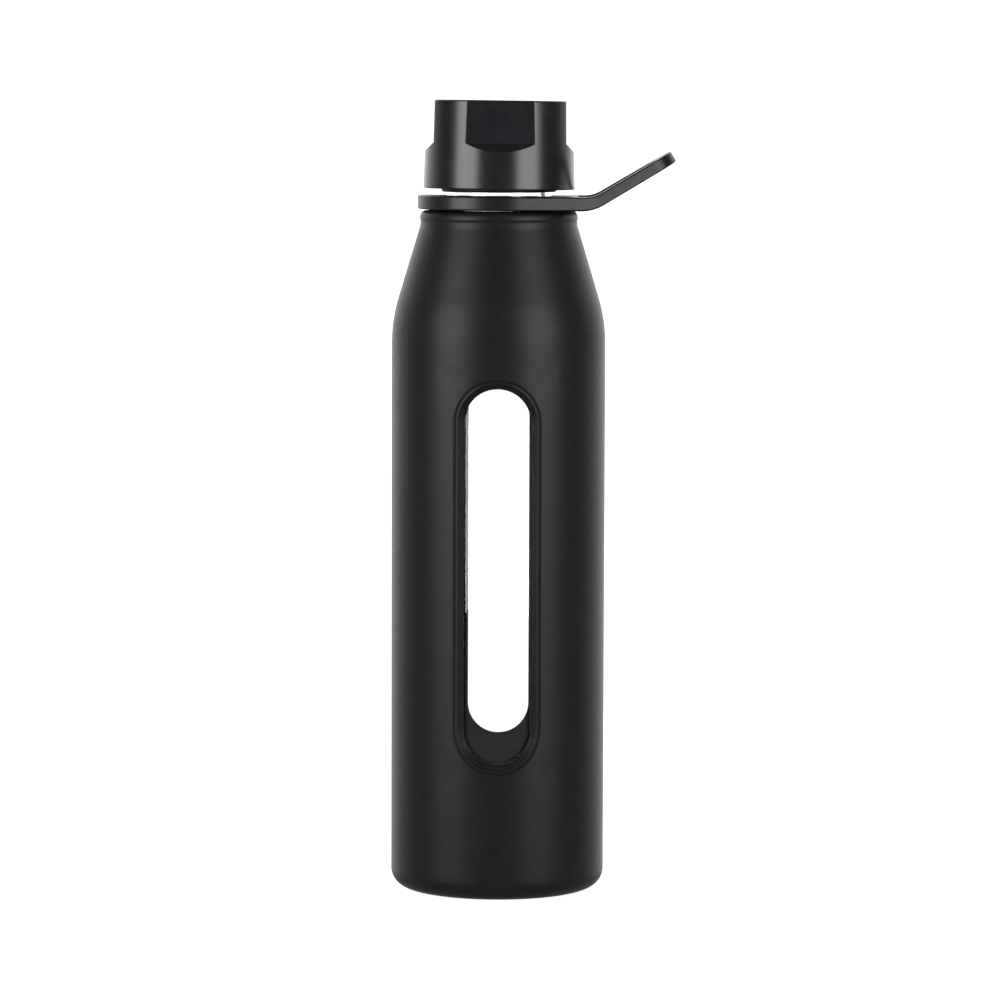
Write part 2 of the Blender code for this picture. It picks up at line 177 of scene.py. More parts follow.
# Strap
STRAP_THICK = 4.8
LOOP_THICK = 4.0
STRAP_MID_Z = strap_low.z + 2.28
STRAP_RING_R = -strap_low.x
STRAP_HOLE_R = 18.85
STRAP_TAPER = math.radians(15.5)
STRAP_END_U = 64.3
STRAP_END_CORNER_R = 10.0
STRAP_BAND = 6.0
LOOP_START_U = 27.2
LOOP_NEAR_CORNER_R = 4.0
LOOP_FAR_CORNER_R = 5.0
STRAP_EDGE = 0.65
BEND_START_U = 28.9
BEND_R = 13.1
BEND_ANGLE = math.radians(31.0)
BEND_CUTS = 24
STRAP_LEAN = math.radians(0.32)  # the strap lies a little askew
STRAP_SAG = 0.7  # how far the back of the ring hangs, which dips it 0.09 into the lip

# Camera
CAMERA_DISTANCE = 1.590
CAMERA_HEIGHT = 0.273
CAMERA_SIDE = 0.00067
CAMERA_AZIMUTH = math.radians(0.4)
CAMERA_PITCH = math.radians(4.967)
CAMERA_ROLL = math.radians(0.18)
CAMERA_LENS = 165.6

# Light: what is seen, and the range of what lights the bottle from each side
SEEN_LEVEL = 1.25
BEHIND_LEVELS = (0.045, 1.75)
ABOVE_LEVELS = (0.06, 1.0)
BELOW_LEVELS = (0.0, 0.3)
SOFTBOX_AIM = Vector((0, 0, 0.14))
SOFTBOX_ELEVATION = 12
SOFTBOX_DISTANCE = 1.4
SOFTBOX_SIZE = (0.88, 1.02)
SOFTBOXES = (("softbox_left", -51, 19.5), ("softbox_right", 45, 18))  # azimuth, power


# Camera, floor and light


def add_camera():
    data = bpy.data.cameras.new("camera")
    data.lens = CAMERA_LENS
    data.clip_end = 50.0
    camera = bpy.data.objects.new("camera", data)
    bpy.context.scene.collection.objects.link(camera)
    orbit = Matrix.Rotation(CAMERA_AZIMUTH, 4, "Z")
    place = Matrix.Translation((CAMERA_SIDE, -CAMERA_DISTANCE, CAMERA_HEIGHT))
    tilt = Matrix.Rotation(math.pi / 2 - CAMERA_PITCH, 4, "X")
    camera.matrix_world = orbit @ place @ tilt @ Matrix.Rotation(CAMERA_ROLL, 4, "Z")
    bpy.context.scene.camera = camera


def add_softbox(name, azimuth, power):
    """A rectangular light aimed at the bottle. Azimuth 0 is the camera's side."""
    data = bpy.data.lights.new(name, "AREA")
    data.shape = "RECTANGLE"
    data.size, data.size_y = SOFTBOX_SIZE
    data.energy = power
    light = bpy.data.objects.new(name, data)
    bpy.context.scene.collection.objects.link(light)
    a, e = math.radians(azimuth), math.radians(SOFTBOX_ELEVATION)
    away = Vector((math.sin(a) * math.cos(e), -math.cos(a) * math.cos(e), math.sin(e)))
    light.location = SOFTBOX_AIM + away * SOFTBOX_DISTANCE
    light.rotation_euler = away.to_track_quat("Z", "Y").to_euler()


def smooth_range(tree, value, given, wanted):
    """Eases from one range of values to another."""
    node = tree.nodes.new("ShaderNodeMapRange")
    node.interpolation_type = "SMOOTHSTEP"
    node.inputs["From Min"].default_value, node.inputs["From Max"].default_value = given
    node.inputs["To Min"].default_value, node.inputs["To Max"].default_value = wanted
    tree.links.new(value, node.inputs["Value"])
    return node.outputs["Result"]


def add_world():
    """White to the camera and straight through the glass, and not what lights the bottle.

    What lights it is pale behind it, dim below and dark in front.
    """
    world = bpy.data.worlds.new("studio")
    bpy.context.scene.world = world
    world.use_nodes = True
    nodes = world.node_tree.nodes
    link = world.node_tree.links.new
    background = nodes["Background"]
    background.inputs["Color"].default_value = (1.0, 1.0, 1.0, 1.0)
    direction = nodes.new("ShaderNodeTexCoord")
    split = nodes.new("ShaderNodeSeparateXYZ")
    link(direction.outputs["Generated"], split.inputs[0])
    side, up = split.outputs["Y"], split.outputs["Z"]
    behind = smooth_range(world.node_tree, side, (0.05, 1.0), BEHIND_LEVELS)
    above = smooth_range(world.node_tree, up, (-0.35, 0.0), ABOVE_LEVELS)
    below = smooth_range(world.node_tree, up, (-0.04, -0.16), BELOW_LEVELS)
    light = nodes.new("ShaderNodeMath")
    light.operation = "MULTIPLY_ADD"
    for index, part in enumerate((behind, above, below)):
        link(part, light.inputs[index])
    rays = nodes.new("ShaderNodeLightPath")
    seen = nodes.new("ShaderNodeMath")
    seen.operation = "MAXIMUM"
    link(rays.outputs["Is Camera Ray"], seen.inputs[0])
    link(rays.outputs["Is Transmission Ray"], seen.inputs[1])
    bounced = nodes.new("ShaderNodeMath")
    bounced.use_clamp = True
    link(rays.outputs["Diffuse Depth"], bounced.inputs[0])
    link(rays.outputs["Glossy Depth"], bounced.inputs[1])
    straight = nodes.new("ShaderNodeMath")
    straight.operation = "SUBTRACT"
    straight.use_clamp = True
    link(seen.outputs[0], straight.inputs[0])
    link(bounced.outputs[0], straight.inputs[1])
    level = nodes.new("ShaderNodeMix")
    link(straight.outputs[0], level.inputs["Factor"])
    link(light.outputs[0], level.inputs["A"])
    level.inputs["B"].default_value = SEEN_LEVEL
    link(level.outputs["Result"], background.inputs["Strength"])


def floor_material():
    """White, and glowing with painted light that is a little dimmer near the bottle and brighter
    away from it, so that it meets the white behind it.
    """
    material = bpy.data.materials.new("floor")
    material.use_nodes = True
    tree = material.node_tree
    shader = tree.nodes["Principled BSDF"]
    shader.inputs["Base Color"].default_value = (0.8, 0.8, 0.8, 1.0)
    shader.inputs["Roughness"].default_value = 0.9
    shader.inputs["Specular IOR Level"].default_value = 0.1
    shader.inputs["Emission Color"].default_value = (1.0, 1.0, 1.0, 1.0)
    place = tree.nodes.new("ShaderNodeTexCoord")
    away = tree.nodes.new("ShaderNodeVectorMath")
    away.operation = "LENGTH"
    tree.links.new(place.outputs["Object"], away.inputs[0])
    # Painted light: the floor's own glow, 0.80 near the bottle rising to 1.0 a metre away
    glow = smooth_range(tree, away.outputs["Value"], (0.1, 1.0), (0.80, 1.0))
    tree.links.new(glow, shader.inputs["Emission Strength"])
    return material


def add_floor():
    mesh = bpy.data.meshes.new("floor")
    bm = bmesh.new()
    bmesh.ops.create_circle(bm, cap_ends=True, segments=96, radius=12.0)
    bm.to_mesh(mesh)
    bm.free()
    mesh.materials.append(floor_material())
    floor = bpy.data.objects.new("floor", mesh)
    bpy.context.scene.collection.objects.link(floor)
    floor.visible_glossy = False
    floor.visible_diffuse = False
    floor.visible_transmission = False


def add_studio():
    bpy.context.scene.view_settings.view_transform = "Standard"
    add_camera()
    add_world()
    for softbox in SOFTBOXES:
        add_softbox(*softbox)
    add_floor()


# Materials


class Surface:
    """A Principled material whose colour, roughness and bump come from noise."""

    def __init__(self, name):
        self.material = bpy.data.materials.new(name)
        self.material.use_nodes = True
        self.tree = self.material.node_tree
        self.shader = self.tree.nodes["Principled BSDF"]
        self.place = self.tree.nodes.new("ShaderNodeTexCoord").outputs["Object"]
        self.bump_normal = None

    def set(self, **values):
        for name, value in values.items():
            self.shader.inputs[name.replace("_", " ")].default_value = value
        return self

    def noise(self, per_metre, detail=3.0, roughness=0.55, stretch=(1, 1, 1)):
        mapping = self.tree.nodes.new("ShaderNodeMapping")
        mapping.inputs["Scale"].default_value = stretch
        self.tree.links.new(self.place, mapping.inputs["Vector"])
        noise = self.tree.nodes.new("ShaderNodeTexNoise")
        noise.inputs["Scale"].default_value = per_metre
        noise.inputs["Detail"].default_value = detail
        noise.inputs["Roughness"].default_value = roughness
        self.tree.links.new(mapping.outputs[0], noise.inputs["Vector"])
        return noise.outputs["Fac"]

    def colour(self, factor, dark, light, low=0.35, high=0.65):
        ramp = self.tree.nodes.new("ShaderNodeValToRGB")
        ramp.color_ramp.elements[0].position = low
        ramp.color_ramp.elements[0].color = (*dark, 1.0)
        ramp.color_ramp.elements[1].position = high
        ramp.color_ramp.elements[1].color = (*light, 1.0)
        self.tree.links.new(factor, ramp.inputs[0])
        self.tree.links.new(ramp.outputs["Color"], self.shader.inputs["Base Color"])
        return self

    def rough(self, factor, low, high):
        remap = self.tree.nodes.new("ShaderNodeMapRange")
        remap.inputs["From Min"].default_value = 0.3
        remap.inputs["From Max"].default_value = 0.7
        remap.inputs["To Min"].default_value = low
        remap.inputs["To Max"].default_value = high
        self.tree.links.new(factor, remap.inputs["Value"])
        self.tree.links.new(remap.outputs["Result"], self.shader.inputs["Roughness"])
        return self

    def bump(self, factor, depth, strength=1.0):
        """Adds relief of this depth, in metres."""
        bump = self.tree.nodes.new("ShaderNodeBump")
        bump.inputs["Strength"].default_value = strength
        bump.inputs["Distance"].default_value = depth
        self.tree.links.new(factor, bump.inputs["Height"])
        if self.bump_normal:
            self.tree.links.new(self.bump_normal, bump.inputs["Normal"])
        self.bump_normal = bump.outputs["Normal"]
        self.tree.links.new(self.bump_normal, self.shader.inputs["Normal"])
        return self


def silicone_material():
    surface = Surface("black_silicone").set(IOR=1.36, Specular_IOR_Level=0.32)
    surface.colour(surface.noise(180), (0.0065, 0.0068, 0.0072), (0.0085, 0.0087, 0.0088))
    surface.rough(surface.noise(420), 0.37, 0.41)
    surface.bump(surface.noise(2600, detail=2.0), 0.00001, 0.35)
    return surface.material


def cap_material():
    surface = Surface("cap_plastic").set(IOR=1.5, Specular_IOR_Level=0.47)
    surface.colour(surface.noise(150), (0.0075, 0.0082, 0.0098), (0.0105, 0.0112, 0.013))
    surface.rough(surface.noise(300), 0.24, 0.27)
    surface.bump(surface.noise(2200, detail=1.0), 0.000003, 0.3)
    return surface.material


def strap_material():
    surface = Surface("strap_plastic").set(IOR=1.5, Specular_IOR_Level=0.33)
    surface.colour(surface.noise(160), (0.005, 0.0049, 0.0047), (0.0072, 0.007, 0.0067))
    surface.rough(surface.noise(450), 0.31, 0.38)
    surface.bump(surface.noise(2400, detail=2.0), 0.00001, 0.5)
    return surface.material


def liner_material():
    surface = Surface("liner_plastic").set(IOR=1.5)
    surface.colour(surface.noise(160), (0.006, 0.006, 0.0063), (0.008, 0.008, 0.0083))
    surface.rough(surface.noise(450), 0.5, 0.6)
    surface.bump(surface.noise(2600, detail=2.0), 0.00001, 0.4)
    return surface.material


def gasket_material():
    surface = Surface("gasket_silicone").set(IOR=1.41, Transmission_Weight=0.25)
    surface.colour(surface.noise(250), (0.60, 0.61, 0.60), (0.70, 0.71, 0.70))
    surface.rough(surface.noise(600), 0.45, 0.6)
    surface.bump(surface.noise(2400, detail=2.0), 0.00002, 0.4)
    return surface.material


def glass_material():
    surface = Surface("clear_glass")
    surface.set(Roughness=0.0, IOR=1.52, Transmission_Weight=1.0)
    surface.colour(surface.noise(40), (0.985, 0.995, 0.99), (0.995, 1.0, 0.998))
    surface.bump(surface.noise(60, detail=1.0), 0.00004, 0.3)
    return surface.material


# Meshes


def mesh_object(name, points, faces, material):
    """A welded, outward-facing, smooth mesh from points in millimetres."""
    mesh = bpy.data.meshes.new(name)
    mesh.from_pydata([Vector(point) * MM for point in points], [], faces)
    bm = bmesh.new()
    bm.from_mesh(mesh)
    bmesh.ops.remove_doubles(bm, verts=bm.verts, dist=0.000002)
    bmesh.ops.recalc_face_normals(bm, faces=bm.faces)
    bm.to_mesh(mesh)
    bm.free()
    mesh.shade_smooth()
    mesh.materials.append(material)
    obj = bpy.data.objects.new(name, mesh)
    bpy.context.scene.collection.objects.link(obj)
    return obj


def stands_for(piece, node, body):
    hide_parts(node)
    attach(piece, body)


def arc(centre, radius, start_deg, end_deg, steps):
    """Points along an arc, ends included."""
    points = []
    for i in range(steps + 1):
        angle = math.radians(start_deg + (end_deg - start_deg) * i / steps)
        points.append(
            (
                centre[0] + radius * math.cos(angle),
                centre[1] + radius * math.sin(angle),
            )
        )
    return points


def spread(start, end, steps):
    """Evenly spaced values, ends included."""
    return [start + (end - start) * i / steps for i in range(steps + 1)]


def skin(rows, wrap=False):
    """Points and faces of a surface through closed rows of points.

    A row of one point is a pole.
    """
    points = [point for row in rows for point in row]
    starts = [0]
    for row in rows:
        starts.append(starts[-1] + len(row))
    faces = []
    pairs = list(zip(range(len(rows) - 1), range(1, len(rows))))
    if wrap:
        pairs.append((len(rows) - 1, 0))
    for i, j in pairs:
        count = max(len(rows[i]), len(rows[j]))
        for k in range(count):
            n = (k + 1) % count
            face = []
            for row, column in ((i, k), (i, n), (j, n), (j, k)):
                index = starts[row] + (column if len(rows[row]) > 1 else 0)
                if index not in face:
                    face.append(index)
            faces.append(face)
    return points, faces


def turned_rows(profile, angles, radius_at=None):
    """One row for each (radius, height) of the profile. radius_at may change the radius."""
    rows = []
    for r, z in profile:
        if r < 0.0001:
            rows.append([(0.0, 0.0, z)])
            continue
        row = []
        for angle in angles:
            radius = radius_at(r, z, angle) if radius_at else r
            row.append((radius * math.cos(angle), radius * math.sin(angle), z))
        rows.append(row)
    return rows


def even_angles(count):
    return [TAU * i / count for i in range(count)]


def ridge_height(z, angle, start_z, turns, ridge_r):
    """How far a helical ridge stands out of its wall here."""
    reach = 1.25 * ridge_r
    height = 0.0
    for lap in range(math.ceil(turns) + 1):
        along = angle / TAU + lap
        if along > turns:
            break
        away = abs(z - (start_z + THREAD_PITCH * along)) / reach
        if away >= 1:
            continue
        fade = min(1.0, along / THREAD_FADE, (turns - along) / THREAD_FADE)
        shape = math.cos(away * math.pi / 2) ** 2
        height = max(height, ridge_r * shape * math.sin(max(fade, 0) * math.pi / 2))
    return height


# Sleeve


def sleeve_radius(z):
    """The sleeve's outer radius above its base corner: a cylinder, an arc and a cone."""
    corner_z = CONE_TOP_Z - (BODY_R - CONE_TOP_R) / CONE_SLOPE
    lean = math.atan(CONE_SLOPE)
    tangent = SHOULDER_ARC_R * math.tan(lean / 2)
    arc_low_z = corner_z - tangent
    arc_high_z = corner_z + tangent * math.cos(lean)
    if z <= arc_low_z:
        return BODY_R
    if z >= arc_high_z:
        return CONE_TOP_R + CONE_SLOPE * (CONE_TOP_Z - z)
    return BODY_R - SHOULDER_ARC_R + math.sqrt(SHOULDER_ARC_R**2 - (z - arc_low_z) ** 2)


def end_centres(half_w, rise=0.0):
    """Heights of the centres of a window outline's lower and upper arc, at this half width."""
    share = min((half_w - WINDOW_HALF_W) / (RIM_HALF_W - WINDOW_HALF_W), 1.0)
    low = WINDOW_LOW_Z + WINDOW_HALF_W + rise
    low += share * (RIM_LOW_Z + RIM_HALF_W - low)
    high = WINDOW_HIGH_Z - WINDOW_HALF_W
    high += share * (RIM_HIGH_Z - RIM_HALF_W - high)
    return low, high


def patch_border_z():
    """Lowest and highest z of the patch round a window."""
    low, high = end_centres(PATCH_HALF_W)
    return low - PATCH_HALF_W, high + PATCH_HALF_W


def window_ring(half_w, rise):
    """Points (x, z) round the window at this half width, anticlockwise from the upper right."""
    low, high = end_centres(half_w, rise)
    ring = arc((0, high), half_w, 0, 180, PATCH_ARC_STEPS)
    ring += [(-half_w, z) for z in spread(high, low, PATCH_SIDE_STEPS)[1:-1]]
    ring += arc((0, low), half_w, 180, 360, PATCH_ARC_STEPS)
    ring += [(half_w, z) for z in spread(low, high, PATCH_SIDE_STEPS)[1:-1]]
    return ring


def patch_border():
    """The patch's straight-sided border, point for point with window_ring."""
    low, high = end_centres(PATCH_HALF_W)
    half = PATCH_HALF_W

    def outward(angle, centre_z):
        c, s = math.cos(angle), math.sin(angle)
        reach = half / max(abs(c), abs(s))
        return (c * reach, centre_z + s * reach)

    top = [outward(math.pi * i / PATCH_ARC_STEPS, high) for i in range(PATCH_ARC_STEPS + 1)]
    bottom = [
        outward(math.pi * (1 + i / PATCH_ARC_STEPS), low) for i in range(PATCH_ARC_STEPS + 1)
    ]
    ring = top + [(-half, z) for z in spread(high, low, PATCH_SIDE_STEPS)[1:-1]]
    ring += bottom + [(half, z) for z in spread(low, high, PATCH_SIDE_STEPS)[1:-1]]
    return ring


def on_wall(x, z, radius, side):
    return (x, side * math.sqrt(radius**2 - x**2), z)


def through(points, steps):
    """A smooth line through the points."""
    line = []
    for i in range(len(points) - 1):
        before, start, end, after = (
            Vector(points[min(max(k, 0), len(points) - 1)]) for k in range(i - 1, i + 3)
        )
        for step in range(steps):
            t = step / steps
            curve = 2 * start + (end - before) * t
            curve += (2 * before - 5 * start + 4 * end - after) * t**2
            curve += (3 * start - before - 3 * end + after) * t**3
            line.append(tuple(curve / 2))
    line.append(tuple(points[-1]))
    return line


def window_rows(side):
    """Rows from the inside of the wall, out through the window and over the rim to the border."""
    inner_r = BODY_R - SLEEVE_WALL
    rise = BACK_WINDOW_RISE if side > 0 else 0.0
    border = patch_border()
    rows = [[on_wall(x, z, inner_r, side) for x, z in border]]
    for half_w in INSIDE_ROWS:
        rows.append([on_wall(x, z, inner_r, side) for x, z in window_ring(half_w, rise)])
    section = through(RIM_SECTION, RIM_SECTION_STEPS)
    section += [(half_w, 0.0) for half_w in OUTSIDE_ROWS]
    for half_w, height in section:
        rows.append([on_wall(x, z, BODY_R + height, side) for x, z in window_ring(half_w, rise)])
    rows.append([on_wall(x, z, BODY_R, side) for x, z in border])
    return rows


def wall_columns():
    """Angles round the sleeve whose columns meet the patches' borders."""
    half = PATCH_ARC_STEPS // 4
    front = []
    for i in range(-half, half + 1):
        x = PATCH_HALF_W * math.tan(math.pi / 4 * i / half)
        front.append(math.asin(x / BODY_R))
    front = [angle - math.pi / 2 for angle in front]
    edge = front[-1]
    side = spread(edge, -edge, SIDE_COLUMNS)[1:-1]
    half_turn = front + side
    return half_turn + [angle + math.pi for angle in half_turn]


def sleeve_lip_profile():
    """From the inside of the mouth over the lip's bead to the top of the cone."""
    mouth_r = CONE_TOP_R - SLEEVE_WALL
    centre_r = LIP_R - LIP_BEAD_R
    top_z = LIP_TOP_Z - LIP_BEAD_Z
    profile = [(mouth_r, LIP_TOP_Z - 1.2)]
    profile += arc((mouth_r + 0.6, LIP_TOP_Z - 0.6), 0.6, 180, 90, 5)
    for degrees in spread(88, 0, 10):
        t = math.radians(degrees)
        profile.append((centre_r + LIP_BEAD_R * math.cos(t), LIP_BEAD_Z + top_z * math.sin(t)))
    profile += arc((centre_r, LIP_BEAD_Z), LIP_BEAD_R, -3, -30, 7)
    profile += [
        (LIP_GROOVE_R + 0.01, LIP_GROOVE_Z + 0.35),
        (LIP_GROOVE_R, LIP_GROOVE_Z),
        (LIP_GROOVE_R + 0.03, LIP_GROOVE_Z - 0.4),
        (LIP_GROOVE_R + 0.12, LIP_GROOVE_Z - 0.8),
    ]
    return profile


def sleeve_profiles():
    """(above the patches, below the patches), each from the inside wall to the outside wall."""
    low_z, high_z = patch_border_z()
    shoulder = spread(high_z, CONE_TOP_Z - 0.7, 52)
    inside = [(sleeve_radius(z) - SLEEVE_WALL, z) for z in shoulder]
    outside = [(sleeve_radius(z), z) for z in reversed(shoulder)]
    above = inside + sleeve_lip_profile() + outside
    inner_r = BODY_R - SLEEVE_WALL
    corner_r = BASE_CORNER_R + GAP
    foot_r = BODY_R - BASE_CORNER_R
    below = [(inner_r, z) for z in spread(low_z, SLEEVE_FLOOR + corner_r, 8)[:-1]]
    below += arc((inner_r - corner_r, SLEEVE_FLOOR + corner_r), corner_r, 0, -90, 8)
    floor = [(20.0, SLEEVE_FLOOR), (8.0, SLEEVE_FLOOR), (0.0, SLEEVE_FLOOR)]
    under = [
        (0.0, 0.0),
        (6.0, 0.0),
        (FOOT_PAD_R - 0.2, 0.0),
        (FOOT_PAD_R, 0.1),
        (FOOT_PAD_R + FOOT_RECESS, FOOT_RECESS),
        (FOOT_INNER_R - FOOT_RECESS, FOOT_RECESS),
        (FOOT_INNER_R, 0.1),
        (FOOT_INNER_R + 0.2, 0.0),
    ]
    outside = arc((foot_r, BASE_CORNER_R), BASE_CORNER_R, -90, 0, 14)
    outside += [(BODY_R, z) for z in spread(BASE_CORNER_R, low_z, 14)[1:]]
    return above, below + floor, under + outside


def side_heights():
    """Heights of the points on a patch's straight sides."""
    return sorted({round(z, 6) for x, z in patch_border() if x > PATCH_HALF_W - 0.001})


def make_sleeve():
    material = silicone_material()
    points, faces = [], []

    def add(rows, wrap=False):
        new_points, new_faces = skin(rows, wrap)
        offset = len(points)
        points.extend(new_points)
        faces.extend([[index + offset for index in face] for face in new_faces])

    def add_open(rows):
        """A surface whose rows aren't closed."""
        offset = len(points)
        width = len(rows[0])
        for row in rows:
            points.extend(row)
        for i in range(len(rows) - 1):
            for k in range(width - 1):
                a = offset + i * width + k
                faces.append([a, a + 1, a + 1 + width, a + width])

    for side in (-1, 1):
        add(window_rows(side))
    columns = wall_columns()
    above, inside_below, outside_below = sleeve_profiles()
    add(turned_rows(above, columns))
    add(turned_rows(inside_below, columns))
    add(turned_rows(outside_below, columns))
    front = PATCH_ARC_STEPS // 2
    heights = side_heights()
    for start in (front, front + len(columns) // 2):
        stretch = [columns[(start + k) % len(columns)] for k in range(SIDE_COLUMNS + 1)]
        for radius in (BODY_R - SLEEVE_WALL, BODY_R):
            add_open(
                [
                    [(radius * math.cos(a), radius * math.sin(a), z) for a in stretch]
                    for z in heights
                ]
            )
    sleeve = mesh_object("silicone_sleeve_skin", points, faces, material)
    stands_for(sleeve, "silicone_sleeve", "bottle")


# Glass


def glass_profile():
    """From the middle of the inside floor up, over the lip and down to the middle of the base."""
    inset = GLASS_INSET
    outer_r = BODY_R - inset
    inner_r = outer_r - GLASS_WALL
    base_z = SLEEVE_FLOOR + GAP
    floor_z = base_z + GLASS_FLOOR
    heel_r = 6.0
    heights = spread(GLASS_STRAIGHT_Z, CONE_TOP_Z - 1.5, 40)
    inside = [(0.0, floor_z), (12.0, floor_z)]
    inside += arc((inner_r - heel_r, floor_z + heel_r), heel_r, -90, 0, 10)
    straight = spread(floor_z + heel_r, GLASS_STRAIGHT_Z, 12)[1:-1]
    inside += [(inner_r, z) for z in straight]
    inside += [(sleeve_radius(z) - inset - GLASS_WALL, z) for z in heights]
    neck_turn_r = 4.0
    inside += arc((MOUTH_R + neck_turn_r, COLLAR_LOW_Z + 2.4), neck_turn_r, 222, 180, 7)
    inside += [(MOUTH_R, z) for z in spread(COLLAR_LOW_Z + 2.4, MOUTH_Z - 1.6, 6)[1:]]
    lip_r = (NECK_R - MOUTH_R) / 2
    lip = arc((MOUTH_R + lip_r, MOUTH_Z - lip_r), lip_r, 180, 0, 12)
    neck = [(NECK_R, z) for z in spread(MOUTH_Z - lip_r, COLLAR_HIGH_Z + 0.6, 80)[1:]]
    collar = arc((NECK_R + 0.6, COLLAR_HIGH_Z + 0.6), 0.6, 180, 270, 4)
    edge_r = COLLAR_EDGE_R
    collar += arc((COLLAR_R - edge_r, COLLAR_HIGH_Z - edge_r), edge_r, 90, 0, 5)
    collar += [(COLLAR_R, z) for z in spread(COLLAR_HIGH_Z - 1, COLLAR_LOW_Z, 6)]
    turn_r = 1.6
    collar += arc((COLLAR_R + turn_r, COLLAR_LOW_Z), turn_r, 180, 250, 6)[1:]
    shoulder_r = 4.0
    collar += arc((CONE_TOP_R - inset - shoulder_r, CONE_TOP_Z), shoulder_r, 68, 12, 7)
    outside = [(sleeve_radius(z) - inset, z) for z in reversed(heights)]
    straight = spread(GLASS_STRAIGHT_Z, base_z + BASE_CORNER_R, 12)[1:-1]
    outside += [(outer_r, z) for z in straight]
    outside += arc(
        (outer_r - BASE_CORNER_R, base_z + BASE_CORNER_R), BASE_CORNER_R, 0, -90, 10
    )
    punt = [(PUNT_R, base_z), (PUNT_R * 0.6, base_z + PUNT_RISE), (0.0, base_z + PUNT_RISE)]
    return inside + lip + neck + collar + outside + punt


def neck_radius(r, z, angle):
    if abs(r - NECK_R) > 0.001:
        return r
    return r + ridge_height(z, angle, THREAD_START_Z, THREAD_TURNS, THREAD_RIDGE_R)


def make_glass():
    rows = turned_rows(glass_profile(), even_angles(144), neck_radius)
    glass = mesh_object("glass_body", *skin(rows), glass_material())
    stands_for(glass, "glass_bottle", "bottle")


# Cap


def soft_min(a, b, reach):
    overlap = max(reach - abs(a - b), 0.0) / reach
    return min(a, b) - overlap**2 * reach / 4


def flat_distance(height):
    """From the axis to the middle of a flat, at this height."""
    if height >= FLAT_LOW_H:
        return FLAT_DISTANCE + FLAT_DRAFT * (CAP_HEIGHT - height)
    low = FLAT_DISTANCE + FLAT_DRAFT * (CAP_HEIGHT - FLAT_LOW_H)
    return low + FLAT_RUNOUT_SLOPE * (FLAT_LOW_H - height)


def shell_wall(height, angle):
    """The shell's outer radius: a slight cone with crowned flats."""
    radius = CAP_LOW_R + (CAP_HIGH_R - CAP_LOW_R) * height / CAP_HEIGHT
    back = flat_distance(height) - FLAT_CROWN_R
    turn = (angle + math.pi / 4) % (math.pi / 2) - math.pi / 4
    flat = back * math.cos(turn)
    flat += math.sqrt(FLAT_CROWN_R**2 - (back * math.sin(turn)) ** 2)
    return soft_min(radius, flat, FLAT_BLEND)


def shell_angles():
    """Angles round the shell, close together at the flats' edges and the ribs' sides."""
    quarter = spread(0, FLAT_EDGE_ANGLE - 1.2, 32)
    quarter += spread(FLAT_EDGE_ANGLE - 1.2, FLAT_EDGE_ANGLE + 1.2, 12)
    quarter += spread(FLAT_EDGE_ANGLE + 1.2, 45, 10)
    degrees = set()
    for start in (0, 90, 180, 270):
        for a in quarter:
            degrees |= {(start + a) % 360, (start - a) % 360}
    rib_half = math.degrees(RIB_THICK / 2 / LINER_R)
    for i in range(RIB_COUNT):
        middle = 360 * (i + 0.5) / RIB_COUNT
        for away in (-rib_half - 0.08, -rib_half, rib_half, rib_half + 0.08):
            degrees.add(middle + away)
    kept = []
    for a in sorted(degrees):
        if not kept or a - kept[-1] > 0.05:
            kept.append(a)
    return [math.radians(a) for a in kept]


def rib_at(angle):
    pitch = TAU / RIB_COUNT
    away = abs((angle % pitch) - pitch / 2) * LINER_R
    return away <= RIB_THICK / 2 + 0.001


def shell_rows(angles):
    """Rows from the middle of the crown, down the outside, and up the inside."""

    def ring(height, radius_at):
        row = []
        for a in angles:
            radius = radius_at(a)
            row.append((radius * math.cos(a), radius * math.sin(a), CAP_BASE_Z + height))
        return row

    rows = [[(0.0, 0.0, CAP_BASE_Z + CAP_HEIGHT)]]
    shoulder = CAP_HEIGHT - CAP_TOP_EDGE_R
    for share in (0.25, 0.5, 0.75, 0.93):
        rows.append(ring(CAP_HEIGHT, lambda a: share * shell_wall(shoulder, a)))
    for t in spread(90, 0, 7):
        inset = CAP_TOP_EDGE_R * (1 - math.cos(math.radians(t)))
        height = shoulder + CAP_TOP_EDGE_R * math.sin(math.radians(t))
        rows.append(ring(height, lambda a: shell_wall(shoulder, a) - inset))
    heights = spread(shoulder, FLAT_LOW_H + 1.2, 14)[1:]
    heights += spread(FLAT_LOW_H + 1.2, FLAT_LOW_H + 0.3, 3)[1:]
    heights += spread(FLAT_LOW_H + 0.3, FLAT_LOW_H - 3.8, 48)[1:]
    heights += spread(FLAT_LOW_H - 3.8, CAP_LOW_EDGE_R, 12)[1:]
    for height in heights:
        rows.append(ring(height, lambda a: shell_wall(height, a)))
    for t in spread(0, -90, 5)[1:]:
        inset = CAP_LOW_EDGE_R * (1 - math.cos(math.radians(t)))
        height = CAP_LOW_EDGE_R * (1 + math.sin(math.radians(t)))
        rows.append(ring(height, lambda a: CAP_LOW_R - inset))
    seat_r = LINER_R + GAP
    seat_h = liner_high.z - CAP_BASE_Z + GAP

    def cavity(height):
        in_rib = RIB_LOW_H <= height <= CAP_CAVITY_H
        return lambda a: seat_r if in_rib and rib_at(a) else CAP_CAVITY_R

    for height in (0.0, 0.3, RIB_LOW_H - 0.02, RIB_LOW_H, 6.0, CAP_CAVITY_H):
        rows.append(ring(height, cavity(height)))
    inside = [
        (seat_r, CAP_CAVITY_H + 0.8),
        (seat_r, seat_h),
        (CAP_HOLLOW_R, seat_h),
        (CAP_HOLLOW_R, CAP_CROWN_H),
    ]
    for r, height in inside:
        rows.append(ring(height, lambda a: r))
    rows.append([(0.0, 0.0, CAP_BASE_Z + CAP_CROWN_H)])
    return rows


